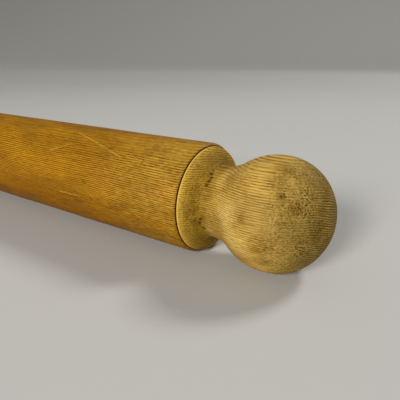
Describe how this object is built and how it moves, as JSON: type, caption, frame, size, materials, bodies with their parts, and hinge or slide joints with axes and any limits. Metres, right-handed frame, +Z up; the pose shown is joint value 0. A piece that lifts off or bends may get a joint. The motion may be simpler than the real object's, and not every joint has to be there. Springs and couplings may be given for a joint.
{
  "type": "rolling pin",
  "caption": "Wooden rolling pin: a bored cylindrical roller that turns freely on a hidden steel axle between turned knob handles.",
  "frame": {"origin": "middle of the pin, on its axis", "axes": "+X along the pin to the right-hand knob, +Z up when the pin lies on a table"},
  "size_m": [0.401, 0.052, 0.052],
  "materials": {
    "roller_wood": "worn oiled satin, warm orange brown",
    "handle_wood": "worn dry satin, pale yellow brown, darker end grain",
    "axle_steel": "drawn, lightly oiled",
    "bush_nylon": "turned, matte",
    "washer_fibre": "punched red fibre, matte",
    "insert_brass": "turned, dull"
  },
  "bodies": {
    "axle_and_handles": {"axle_rod": "axle_steel", "left_handle": "handle_wood", "right_handle": "handle_wood", "left_thrust_washer": "washer_fibre", "right_thrust_washer": "washer_fibre", "left_threaded_insert": "insert_brass", "right_threaded_insert": "insert_brass"},
    "roller": {"roller": "roller_wood", "left_bush": "bush_nylon", "right_bush": "bush_nylon"}
  },
  "joints": [
    {"name": "roller_spin", "type": "hinge", "parent": "axle_and_handles", "child": "roller", "pos_m": [0, 0, 0], "axis": [1, 0, 0], "continuous": true}
  ]
}
